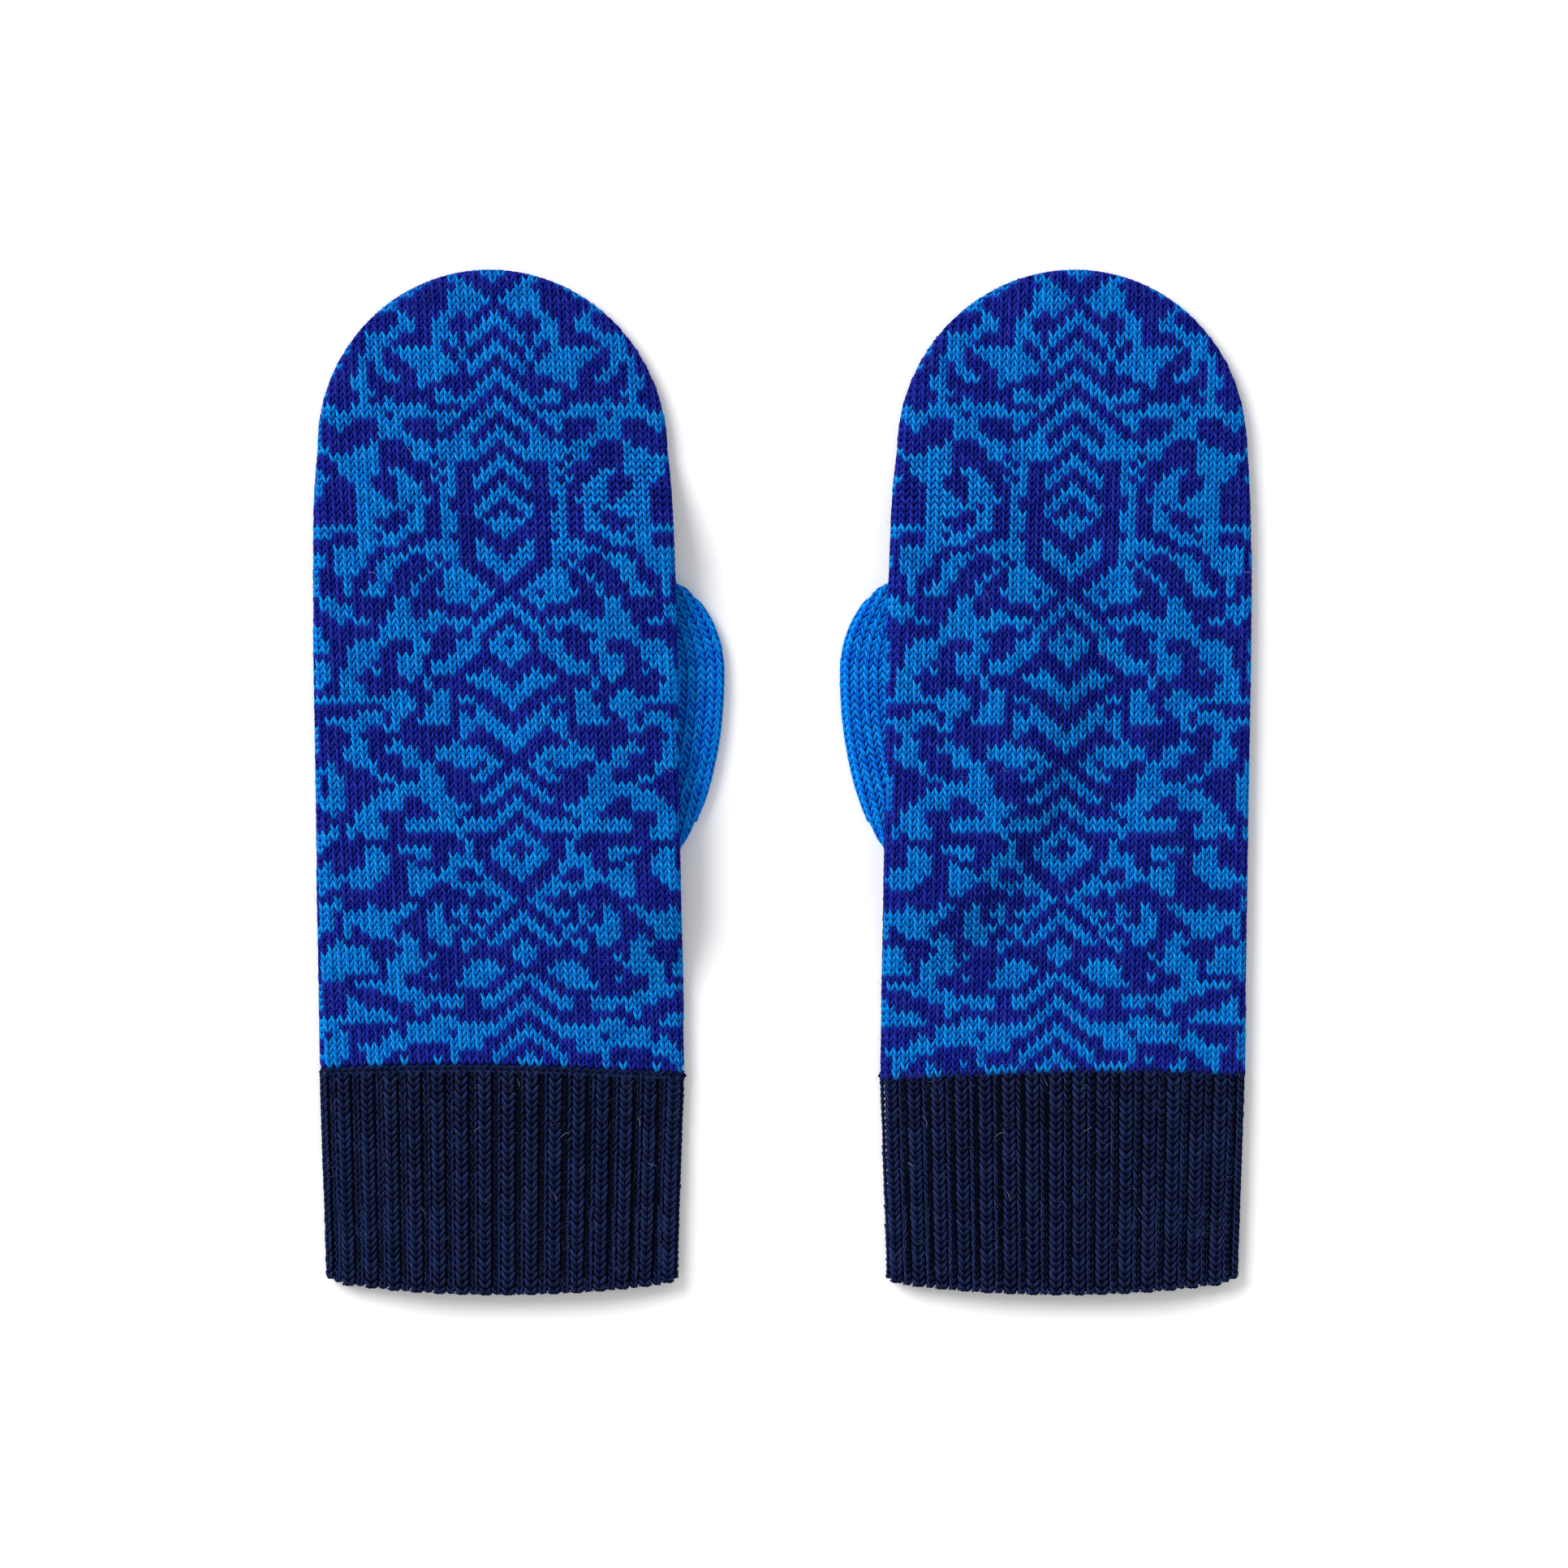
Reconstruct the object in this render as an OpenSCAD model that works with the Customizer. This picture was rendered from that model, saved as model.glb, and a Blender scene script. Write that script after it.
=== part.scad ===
/* [Hand] */
// Full width of the hand, lying flat
hand_w = 98.8; // [85:0.2:120]
// Length of the hand, from the cuff seam to the fingertips
hand_len = 216; // [185:1:260]
// Thickness of the hand, lying flat with its two layers slightly apart
hand_h = 9; // [8.4:0.1:12]
// Thickness of the two-colour knitted fabric
fabric = 1.9; // [1.4:0.1:2.1]
// Length of the rounded fingertip end
tip_len = 48.8; // [40:0.2:58]
// How much narrower the hand is where the fingertip end begins, on each side
tip_ease = 2; // [0:0.1:3]
// How far the fingertips lean away from the thumb
lean = 3.3; // [0:0.1:6]

/* [Thumb] */
// Full width of the thumb at its widest
thumb_w = 41.8; // [34:0.2:48]
// Length of the thumb's rounded end, beyond its widest place
thumb_tip_len = 26.4; // [20:0.2:30]
// Length of the thumb's tapering heel, below its widest place
thumb_heel_len = 52.4; // [44:0.2:58]
// Thickness of the thumb, lying flat under the palm
thumb_h = 7.8; // [7.4:0.1:9]
// Thickness of the thumb's plain knitted fabric
thumb_fabric = 1.7; // [1.2:0.1:1.8]
// How far the thumb stands out past the edge of the hand
thumb_reach = 12.4; // [8:0.2:18]
// Height of the thumb's widest place above the cuff seam
thumb_rise = 106.8; // [95:0.2:115]
// Radius of the thumb's opening in the palm
opening_r = 10.5; // [8:0.1:11]
// Height of the crease that the thumb folds at, above the cuff seam
crease_rise = 91; // [86:0.5:96]

/* [Cuff] */
// Length of the cuff, at its sides
cuff_len = 56.2; // [40:0.2:80]
// Full width of the cuff at its hem
hem_w = 95; // [85:0.2:98]
// Thickness of the cuff, lying flat
cuff_h = 9.4; // [9:0.1:12]
// Thickness of one layer of the ribbed fabric
rib_fabric = 1.1; // [0.8:0.1:1.2]
// How much further down the middle of the hem hangs than its sides
hem_bow = 3.4; // [0:0.1:6]
// Radius of the hem's two corners
hem_corner = 4; // [2:0.1:6]

/* [Seams and label] */
// Height of the sewn side seams, between the upper and lower fabric
seam_h = 1.2; // [0.8:0.1:1.6]
// Length of the seam between the hand and the cuff
cuff_seam_len = 2; // [1.5:0.1:3]
// Width of the sewn edge round the thumb's opening
opening_seam_w = 1.5; // [1:0.1:2]
// Width of the sewn-in label
label_w = 20; // [15:1:24]
// Length of the sewn-in label
label_len = 26; // [20:1:30]
// Thickness of the sewn-in label
label_t = 0.5; // [0.3:0.1:0.6]

/* [Pair] */
// Gap between the two thumbs
pair_gap = 31.4; // [20:0.2:80]
// Clearance between layers that move on each other
clearance = 0.3; // [0.2:0.05:0.6]

/* [Hidden] */

// Heights along Y: the pair's middle is Y = 0, fingertips at +Y
total_len = hand_len + cuff_seam_len + cuff_len + hem_bow;
tip_y = total_len / 2;
seam_y = tip_y - hand_len;
cuff_y = seam_y - cuff_seam_len;
tip_base_y = tip_y - tip_len;

// The thumb lies flat on the floor, and the hand lies over it
thumb_x = hand_w / 2 + thumb_reach - thumb_w / 2;
thumb_y = seam_y + thumb_rise;
crease_y = seam_y + crease_rise;
opening_margin = 2.5;
opening_edge = 0.4;
opening_x = (hand_w - hand_h) / 2 - opening_r - 0.2;
opening_y = crease_y - opening_r - opening_margin;
sewn_r = opening_r + opening_edge + thumb_fabric;
drape_h = thumb_h + clearance;
drape_run = 26;
drape_margin = 9;

// The mitten's own centre line, for the left one
mitten_x = -(pair_gap / 2 + thumb_x + thumb_w / 2);

bright = [0.03, 0.36, 0.72];
royal = [0.05, 0.13, 0.45];
plain_blue = [0.03, 0.33, 0.68];
navy = [0.05, 0.07, 0.19];
seam_blue = [0.04, 0.16, 0.42];
label_white = [0.93, 0.93, 0.91];

// Smooth step from 0 to 1
function ease(t) = let (c = min(1, max(0, t))) c * c * (3 - 2 * c);

// Sideways lean of the centre line, from the cuff seam to the fingertips
function centre_x(y) = lean / 2 - lean * max(0, y - seam_y) / hand_len;

// Half-width of the hand below its rounded end
function half_w(y) = hand_w / 2 - tip_ease * exp(-max(0, tip_base_y - y) / 15);

// Distance out from the thumb's outline: from its egg shape, or from the place it is sewn on if nearer
function thumb_gap(x, y) = let (
        far = norm([x - thumb_x, y - thumb_y]),
        length = y > thumb_y ? thumb_tip_len : thumb_heel_len,
        egg = norm([(x - thumb_x) / (thumb_w / 2), (y - thumb_y) / length]),
        sewn = norm([x - opening_x, y - opening_y]) - sewn_r
    ) egg <= 1 ? 0 : max(0, min(far * (1 - 1 / egg), sewn));

// How high the floor side of the hand is raised where it lies over the thumb
function drape(x, y) = drape_h * (1 - ease((thumb_gap(x, y) - drape_margin) / drape_run));

// Half-thickness of a rounded layer at a distance in from its edge
function dome(d, r) = d >= r ? r : sqrt(max(0, r * r - (r - d) * (r - d)));

// Rows along the hand: each is [Y, half-width, half-thickness], set in by a fabric thickness
STRAIGHT_ROWS = 19;
TIP_ROWS = 7;
function hand_row(k, inset) = k <= STRAIGHT_ROWS
    ? let (y = seam_y + (tip_base_y - seam_y) * k / STRAIGHT_ROWS)
        [y, half_w(y) - inset, hand_h / 2 - inset]
    : let (a = 80 * (k - STRAIGHT_ROWS) / TIP_ROWS, b = tip_len - inset)
        [tip_base_y + b * sin(a), (half_w(tip_base_y) - inset) * cos(a),
            dome(b * (1 - sin(a)), hand_h / 2 - inset)];
HAND_ROWS = STRAIGHT_ROWS + TIP_ROWS + 1;

// Columns across a row: each is [share of the flat half-width, rounding angle]
EDGE_ANGLES = [0, 30, 60, 90];
FLAT_COLUMNS = 12;
COLUMNS = concat([for (a = EDGE_ANGLES) [-1, a]],
    [for (i = [1:FLAT_COLUMNS]) [-1 + 2 * i / (FLAT_COLUMNS + 1), 90]],
    [for (i = [len(EDGE_ANGLES) - 1:-1:0]) [1, EDGE_ANGLES[i]]]);
N_COL = len(COLUMNS);

// One point on the upper or lower fabric: side is 1 for the back of the hand, -1 for the palm
function hand_point(row, column, side) = let (
        r = min(row[2], row[1]),
        x = centre_x(row[0]) + column[0] * (row[1] - r + r * cos(column[1])),
        rise = seam_h / 2 + max(0, row[2] - seam_h / 2) * sin(column[1])
    ) [x, row[0], hand_h / 2 + side * rise + drape(x, row[0])];
function hand_tip(inset, side) = let (y = tip_y - inset, x = centre_x(y))
    [x, y, hand_h / 2 + side * seam_h / 2 + drape(x, y)];

// Two triangles from four corners, wound so that they face outwards when turned is false
function two(a, b, c, d, turned) = turned ? [[a, c, b], [a, d, c]] : [[a, b, c], [a, c, d]];
// The same for the edge of a panel, split along whichever diagonal the seam's triangles are split
function rim_two(a, b, c, d, turned, crossed) = crossed ? two(b, c, d, a, turned) : two(a, b, c, d, turned);
// One list out of a list of lists
function flat1(lists) = [for (l = lists) each l];

// One panel of the hand: a shallow knitted dish, open towards the other panel and the cuff
module hand_panel(side) {
    n = HAND_ROWS * N_COL;
    outer = [for (k = [0:HAND_ROWS - 1], c = COLUMNS) hand_point(hand_row(k, 0), c, side)];
    inner = [for (k = [0:HAND_ROWS - 1], c = COLUMNS) hand_point(hand_row(k, fabric), c, side)];
    points = concat(outer, inner, [hand_tip(0, side), hand_tip(fabric, side)]);
    tip_o = 2 * n;
    tip_i = 2 * n + 1;
    last = (HAND_ROWS - 1) * N_COL;
    up = side < 0;
    skin = flat1([for (k = [0:HAND_ROWS - 2], j = [0:N_COL - 2]) let (a = k * N_COL + j)
        two(a, a + N_COL, a + N_COL + 1, a + 1, up)]);
    lining = flat1([for (k = [0:HAND_ROWS - 2], j = [0:N_COL - 2]) let (a = n + k * N_COL + j)
        two(a, a + N_COL, a + N_COL + 1, a + 1, !up)]);
    skin_tip = [for (j = [0:N_COL - 2]) let (a = last + j)
        up ? [a, a + 1, tip_o] : [a, tip_o, a + 1]];
    lining_tip = [for (j = [0:N_COL - 2]) let (a = n + last + j)
        up ? [a, tip_i, a + 1] : [a, a + 1, tip_i]];
    left_rim = flat1([for (k = [0:HAND_ROWS - 2]) let (a = k * N_COL)
        rim_two(a, n + a, n + a + N_COL, a + N_COL, up, up)]);
    right_rim = flat1([for (k = [0:HAND_ROWS - 2]) let (a = k * N_COL + N_COL - 1)
        rim_two(a, a + N_COL, n + a + N_COL, n + a, up, !up)]);
    rim_tip = concat(rim_two(last, n + last, tip_i, tip_o, up, up),
        rim_two(last + N_COL - 1, tip_o, tip_i, n + last + N_COL - 1, up, !up));
    mouth = flat1([for (j = [0:N_COL - 2]) two(j, j + 1, n + j + 1, n + j, up)]);
    polyhedron(points, concat(skin, lining, skin_tip, lining_tip, left_rim, right_rim, rim_tip, mouth));
}

// The back of the hand
module back_panel() {
    color(bright)
        hand_panel(1);
}

// The palm, with the round opening that the thumb is sewn to
module palm_panel() {
    color(royal)
        difference() {
            hand_panel(-1);
            translate([opening_x, opening_y, 0])
                cylinder(r = opening_r, h = drape_h + hand_h / 2, $fn = 64);
        }
}

// Points along the edge of the hand, from the little-finger side round to the thumb side
function edge_points(inset, z) = concat(
    [for (k = [0:HAND_ROWS - 1]) let (r = hand_row(k, inset), x = centre_x(r[0]) - r[1])
        [x, r[0], z + drape(x, r[0])]],
    [let (y = tip_y - inset, x = centre_x(y)) [x, y, z + drape(x, y)]],
    [for (k = [HAND_ROWS - 1:-1:0]) let (r = hand_row(k, inset), x = centre_x(r[0]) + r[1])
        [x, r[0], z + drape(x, r[0])]]);

// The sewn seam that joins the two panels round the fingertips and both sides
module side_seam() {
    n = 2 * HAND_ROWS + 1;
    low = hand_h / 2 - seam_h / 2;
    high = hand_h / 2 + seam_h / 2;
    points = concat(edge_points(0, low), edge_points(0, high), edge_points(fabric, high),
        edge_points(fabric, low));
    sides = flat1([for (s = [0:3], i = [0:n - 2]) let (a = s * n + i, b = ((s + 1) % 4) * n + i)
        two(a, a + 1, b + 1, b, false)]);
    ends = concat(two(0, n, 2 * n, 3 * n, false), two(n - 1, 4 * n - 1, 3 * n - 1, 2 * n - 1, false));
    color(seam_blue)
        polyhedron(points, concat(sides, ends));
}

// A flattened tube's cross-section: half-width w, half-thickness h, bowed down in the middle
BEND_STEPS = 6;
FLAT_STEPS = 6;
TUBE_CENTRE = centre_x(seam_y);
function tube_loop(w, h, mid_z, y, bow) = [for (s = [1, -1], i = [0:BEND_STEPS + FLAT_STEPS - 1])
    let (
        bend = i <= BEND_STEPS,
        a = 90 - 180 * i / BEND_STEPS,
        run = (i - BEND_STEPS) / FLAT_STEPS,
        x = bend ? s * (w - h + h * cos(a)) : s * (w - h) * (1 - 2 * run),
        z = bend ? s * h * sin(a) : -s * h
    ) [TUBE_CENTRE + x, y - bow * (1 - (x / w) * (x / w)), mid_z + z]];

// A closed skin through a ring of cross-sections, the last one joined back to the first
module ring_skin(loops) {
    n = len(loops[0]);
    m = len(loops);
    faces = flat1([for (k = [0:m - 1], i = [0:n - 1]) let (
            a = k * n + i,
            b = k * n + (i + 1) % n,
            c = ((k + 1) % m) * n + (i + 1) % n,
            d = ((k + 1) % m) * n + i
        ) two(a, b, c, d, false)]);
    polyhedron(flat1(loops), faces);
}

// The sewn seam that joins the hand to the cuff
module cuff_seam() {
    w = half_w(seam_y);
    wall = min(fabric, 2 * rib_fabric);
    color(seam_blue)
        ring_skin([
            tube_loop(w, hand_h / 2, hand_h / 2, seam_y, 0),
            tube_loop(w, hand_h / 2, hand_h / 2, cuff_y + clearance, 0),
            tube_loop(w - wall, hand_h / 2 - wall, hand_h / 2, cuff_y + clearance, 0),
            tube_loop(w - wall, hand_h / 2 - wall, hand_h / 2, seam_y, 0)
        ]);
}

// The ribbed cuff: one knitted tube folded in half at the hem, so it has two layers
LAYER_GAP = 0.2;
function cuff_loop(down, inset) = let (
        from_hem = cuff_len - down,
        w = half_w(seam_y) + (hem_w / 2 - half_w(seam_y)) * down / cuff_len,
        round_in = from_hem >= hem_corner ? 0 : hem_corner - dome(from_hem, hem_corner)
    ) tube_loop(w - round_in - inset, cuff_h / 2 - inset, cuff_h / 2, cuff_y - down,
        hem_bow * down / cuff_len);
module cuff() {
    two_layers = 2 * rib_fabric + LAYER_GAP;
    fold_r = two_layers / 2;
    gap_in = rib_fabric + LAYER_GAP;
    color(navy)
        ring_skin([
            cuff_loop(0, 0),
            cuff_loop(cuff_len / 2, 0),
            cuff_loop(cuff_len - hem_corner, 0),
            cuff_loop(cuff_len - hem_corner / 2, 0),
            cuff_loop(cuff_len - fold_r, 0),
            cuff_loop(cuff_len - fold_r * 0.3, fold_r * 0.3),
            cuff_loop(cuff_len, fold_r),
            cuff_loop(cuff_len - fold_r * 0.3, fold_r * 1.7),
            cuff_loop(cuff_len - fold_r, two_layers),
            cuff_loop(cuff_len - hem_corner, two_layers),
            cuff_loop(cuff_len / 2, two_layers),
            cuff_loop(0, two_layers),
            cuff_loop(0, gap_in),
            cuff_loop(cuff_len / 2, gap_in),
            cuff_loop(cuff_len - hem_corner - fold_r, gap_in),
            cuff_loop(cuff_len - hem_corner - fold_r, rib_fabric),
            cuff_loop(cuff_len / 2, rib_fabric),
            cuff_loop(0, rib_fabric)
        ]);
}

// The thumb's egg-shaped outline, set in from its edge, and let out to go round the palm's opening
THUMB_STEPS = 44;
module thumb_outline(inset) {
    hull() {
        polygon([for (i = [0:THUMB_STEPS - 1]) let (a = 360 * i / THUMB_STEPS)
            [thumb_x + (thumb_w / 2 - inset) * cos(a),
                thumb_y + ((a <= 180 ? thumb_tip_len : thumb_heel_len) - inset) * sin(a)]]);
        translate([opening_x, opening_y])
            circle(r = sewn_r - inset, $fn = 64);
    }
}

// The part of the thumb's outline beyond the crease, which folds, run on past it by some length
module free_outline(inset, run_on) {
    intersection() {
        thumb_outline(inset);
        translate([thumb_x - thumb_w, crease_y + clearance - run_on])
            square([2 * thumb_w, thumb_tip_len + thumb_heel_len]);
    }
}

// The part of the thumb's outline below the crease, which stays with the palm
module base_outline(inset, run_on) {
    intersection() {
        thumb_outline(inset);
        translate([thumb_x - thumb_w, crease_y + run_on - thumb_tip_len - thumb_heel_len])
            square([2 * thumb_w, thumb_tip_len + thumb_heel_len]);
    }
}

// The thumb's base: a flat sleeve sewn to the palm's opening above, and open towards the thumb
module thumb_base() {
    color(plain_blue)
        difference() {
            linear_extrude(thumb_h)
                base_outline(0, 0);
            translate([0, 0, thumb_fabric])
                linear_extrude(thumb_h - 2 * thumb_fabric)
                    base_outline(thumb_fabric, 1);
            translate([opening_x, opening_y, thumb_h / 2])
                cylinder(r = opening_r, h = thumb_h, $fn = 64);
        }
}

// One half of the free thumb: a flat layer of fabric with its edge turned towards the other half
module thumb_half() {
    depth = thumb_h / 2 - seam_h / 2;
    difference() {
        linear_extrude(depth)
            free_outline(0, 0);
        translate([0, 0, thumb_fabric])
            linear_extrude(depth)
                free_outline(thumb_fabric, 1);
    }
}

// The thumb's outer layer, which lies on the floor
module thumb_lower() {
    color(plain_blue)
        thumb_half();
}

// The thumb's inner layer, which lies against the palm
module thumb_upper() {
    color(plain_blue)
        translate([0, 0, thumb_h])
            mirror([0, 0, 1])
                thumb_half();
}

// The sewn seam round the free thumb
module thumb_side_seam() {
    color(seam_blue)
        translate([0, 0, thumb_h / 2 - seam_h / 2])
            difference() {
                linear_extrude(seam_h)
                    free_outline(0, 0);
                translate([0, 0, -seam_h])
                    linear_extrude(3 * seam_h)
                        free_outline(thumb_fabric, 1);
            }
}

// The sewn edge of the palm's opening, where the thumb is joined on
module thumb_opening_seam() {
    color(seam_blue)
        translate([opening_x, opening_y, drape_h])
            difference() {
                cylinder(r = opening_r, h = fabric, $fn = 64);
                translate([0, 0, -fabric])
                    cylinder(r = opening_r - opening_seam_w, h = 3 * fabric, $fn = 64);
            }
}

// The blank label, sewn inside near the cuff on the little-finger side
module care_label() {
    color(label_white)
        translate([TUBE_CENTRE - half_w(seam_y) + hand_h / 2 + 1, seam_y + 1, fabric])
            cube([label_w, label_len, label_t]);
}

// Puts a piece in its place on the left mitten, or on the right one, which is its mirror image
module left() {
    translate([mitten_x, 0, 0])
        children();
}
module right() {
    mirror([1, 0, 0])
        left()
            children();
}

left() back_panel();  // left_back_panel
left() palm_panel();  // left_palm_panel
left() side_seam();  // left_side_seam
left() cuff();  // left_cuff
left() cuff_seam();  // left_cuff_seam
left() thumb_base();  // left_thumb_base
left() thumb_upper();  // left_thumb_upper
left() thumb_lower();  // left_thumb_lower
left() thumb_side_seam();  // left_thumb_side_seam
left() thumb_opening_seam();  // left_thumb_opening_seam
left() care_label();  // left_care_label
right() back_panel();  // right_back_panel
right() palm_panel();  // right_palm_panel
right() side_seam();  // right_side_seam
right() cuff();  // right_cuff
right() cuff_seam();  // right_cuff_seam
right() thumb_base();  // right_thumb_base
right() thumb_upper();  // right_thumb_upper
right() thumb_lower();  // right_thumb_lower
right() thumb_side_seam();  // right_thumb_side_seam
right() thumb_opening_seam();  // right_thumb_opening_seam
right() care_label();  // right_care_label
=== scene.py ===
import math
import bpy
import numpy as np
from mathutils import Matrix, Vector


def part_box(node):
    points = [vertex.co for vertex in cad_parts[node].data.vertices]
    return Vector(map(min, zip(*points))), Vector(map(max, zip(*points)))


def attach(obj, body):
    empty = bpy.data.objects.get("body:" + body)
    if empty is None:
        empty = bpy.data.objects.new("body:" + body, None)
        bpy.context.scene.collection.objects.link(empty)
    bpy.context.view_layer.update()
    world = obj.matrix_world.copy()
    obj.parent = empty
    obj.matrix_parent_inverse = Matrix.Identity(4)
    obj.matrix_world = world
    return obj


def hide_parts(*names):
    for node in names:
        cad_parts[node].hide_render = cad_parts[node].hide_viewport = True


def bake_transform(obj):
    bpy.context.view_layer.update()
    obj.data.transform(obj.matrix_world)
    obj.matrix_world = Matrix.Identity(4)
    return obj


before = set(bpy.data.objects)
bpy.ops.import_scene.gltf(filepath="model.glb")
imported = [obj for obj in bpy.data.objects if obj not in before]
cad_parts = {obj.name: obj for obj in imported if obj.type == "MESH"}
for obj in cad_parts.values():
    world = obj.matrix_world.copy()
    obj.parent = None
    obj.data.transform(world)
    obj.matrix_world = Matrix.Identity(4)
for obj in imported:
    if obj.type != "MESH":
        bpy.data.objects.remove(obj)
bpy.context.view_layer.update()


# ---- The hand -------------------------------------------------------------------------------
# A flat tube of two-colour jacquard, knitted in fine wool with the unused yarn carried inside.
# Back and palm are knitted side by side to the same stitch count, shaped round the fingertips,
# and joined all round by a sewn seam.

MM = 0.001
SIDES = ("left", "right")
HAND_WIDTH = 98.8 * MM
FABRIC = 1.9 * MM
# The rounded fingertips, and how much the straight sides ease in just below them
TIP_LENGTH = 48.8 * MM
TIP_EASE = 2 * MM
TIP_EASE_RUN = 15 * MM
# How far the fingertips lean to one side of the cuff
LEAN = 3.3 * MM
# The folded edge's radius, and how far the back rises towards its middle
EDGE_ROUND = 3.1 * MM
LOFT = 2.8 * MM
LOFT_RUN = 30 * MM
# The thumb's width, and how far it shows past the hand's edge
THUMB_WIDTH = 41.8 * MM
THUMB_REACH = 12.4 * MM
back_low, back_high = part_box("left_back_panel")
free_low, free_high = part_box("left_thumb_side_seam")
seam_y = back_low.y
tip_y = back_high.y
hand_length = tip_y - seam_y
tip_base_y = tip_y - TIP_LENGTH
mitten_x = free_high.x - HAND_WIDTH / 2 - THUMB_REACH

# The hand is draped over the thumb, whose outline is an egg
THUMB_TIP = 26.4 * MM
THUMB_HEEL = 52.4 * MM
DRAPE_CLEARANCE = 0.3 * MM
DRAPE_EDGE = 9 * MM
DRAPE_RUN = 26 * MM
thumb_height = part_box("left_thumb_base")[1].z
thumb_x = HAND_WIDTH / 2 + THUMB_REACH - THUMB_WIDTH / 2
thumb_y = free_high.y - THUMB_TIP


def eased(share):
    """Smooth step from 0 to 1."""
    share = np.clip(share, 0, 1)
    return share * share * (3 - 2 * share)


def middle(y):
    """The hand's centre line, which leans a little from the cuff to the fingertips."""
    return LEAN * (0.5 - np.clip(y - seam_y, 0, None) / hand_length)


def half_width(y):
    """Half the hand's width at a height, rounding in over the fingertips."""
    sides = HAND_WIDTH / 2 - TIP_EASE * np.exp(-np.clip(tip_base_y - y, 0, None) / TIP_EASE_RUN)
    up_tip = np.clip((y - tip_base_y) / TIP_LENGTH, 0, 1)
    return sides * np.sqrt(1 - up_tip * up_tip)


def resting_height(x, y):
    """How high the thumb lifts the palm that lies over it."""
    far = np.hypot(x - thumb_x, y - thumb_y)
    length = np.where(y > thumb_y, THUMB_TIP, THUMB_HEEL)
    egg = np.maximum(np.hypot((x - thumb_x) / (THUMB_WIDTH / 2), (y - thumb_y) / length), 1)
    gap = far * (1 - 1 / egg)
    return (thumb_height + DRAPE_CLEARANCE) * (1 - eased((gap - DRAPE_EDGE) / DRAPE_RUN))


def slack(x, y):
    """The slight unevenness of knitting that has been laid down by hand."""
    slow = np.sin(x / (11 * MM) + 0.7) * np.sin(y / (17 * MM) + 0.4)
    quick = np.sin((x + y) / (8 * MM)) * np.sin((x - 1.6 * y) / (13 * MM) + 1.1)
    return 0.28 * MM * slow + 0.16 * MM * quick


def hand_outline():
    """The hand's edge, from below the cuff on the thumb side, over the fingertips and down again."""
    straight = np.linspace(seam_y - 90 * MM, tip_base_y, 110)
    arc = np.linspace(0, math.pi, 120)
    wide = half_width(tip_base_y)
    tip_line = tip_base_y + TIP_LENGTH * np.sin(arc)
    tip = np.stack([middle(tip_line) + wide * np.cos(arc), tip_line], 1)
    right = np.stack([middle(straight) + half_width(straight), straight], 1)
    left = np.stack([middle(straight) - half_width(straight), straight], 1)
    return np.concatenate([right[:-1], tip, left[::-1][1:]])


def edge_distance(points, outline):
    """How far each point is inside an outline, and the direction straight in from the nearest edge."""
    corner = outline[:-1]
    run = outline[1:] - corner
    reach = points[:, None] - corner
    along = np.clip((reach * run).sum(2) / (run * run).sum(1), 0, 1)
    off = reach - along[..., None] * run
    nearest = np.argmin((off * off).sum(2), 1)
    pick = np.arange(len(points))
    inward = np.stack([-run[:, 1], run[:, 0]], 1) / np.linalg.norm(run, axis=1)[:, None]
    inward = inward[nearest]
    return (off[pick, nearest] * inward).sum(1), inward


def over_edge(points, outline, rounding):
    """Lays flat knitting over a rounded edge: where each point goes, its depth in and what it keeps."""
    inside, inward = edge_distance(points, outline)
    travel = inside + (math.pi / 2 - 1) * rounding
    angle = np.clip(travel / rounding, 0, math.pi / 2)
    depth = np.where(travel < rounding * math.pi / 2, rounding * (1 - np.cos(angle)), inside)
    return points + inward * (depth - inside)[:, None], depth, inward, travel > 0


def skin(plan, depth, inward, face, sink, rounding, loft, lift):
    """Points, outward directions and up-slopes on a soft layer, sunk some way under its surface."""
    cos = np.clip(1 - depth / rounding, 0, 1)
    sin = np.sqrt(1 - cos * cos)
    crown = loft * eased(depth / LOFT_RUN) if face > 0 else 0 * depth
    x, y = plan[:, 0], plan[:, 1]

    def surface(across, up):
        return lift(across, up) + (slack(across, up) if face > 0 else 0 * across)

    step = 0.5 * MM
    slope_x = (surface(x + step, y) - surface(x - step, y)) / (2 * step)
    slope_y = (surface(x, y + step) - surface(x, y - step)) / (2 * step)
    outward = np.stack([-inward[:, 0] * cos - face * slope_x * sin,
                        -inward[:, 1] * cos - face * slope_y * sin,
                        face * sin], 1)
    outward /= np.linalg.norm(outward, axis=1)[:, None]
    height = rounding * (1 + face * sin) + crown + surface(x, y) * np.where(face > 0, sin, 1)
    height = height + np.where(face > 0, (1 - sin) * lift(x, y), 0)
    spots = np.stack([x, y, height], 1) - outward * sink
    return spots, outward, np.stack([slope_x, slope_y], 1)


def in_place(side, vectors, position=True):
    """From the left mitten's own lines to either mitten's place; the right one is its mirror image."""
    moved = np.array(vectors, float)
    if position:
        moved[:, 0] += mitten_x
    if side == "right":
        moved[:, 0] *= -1
    return moved


def on_mitten(side, spots, outward, wale):
    """Where a set of stitches goes on one mitten, which way each faces and which way it is knitted."""
    return in_place(side, spots), in_place(side, outward, False), in_place(side, wale, False)


def node(tree, kind, feeds=(), **settings):
    """Adds a node; feeds are (socket, value or output to join)."""
    made = tree.nodes.new(kind)
    for name, value in settings.items():
        setattr(made, name, value)
    for socket, value in feeds:
        if isinstance(value, bpy.types.NodeSocket):
            tree.links.new(value, made.inputs[socket])
        else:
            made.inputs[socket].default_value = value
    return made


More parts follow.
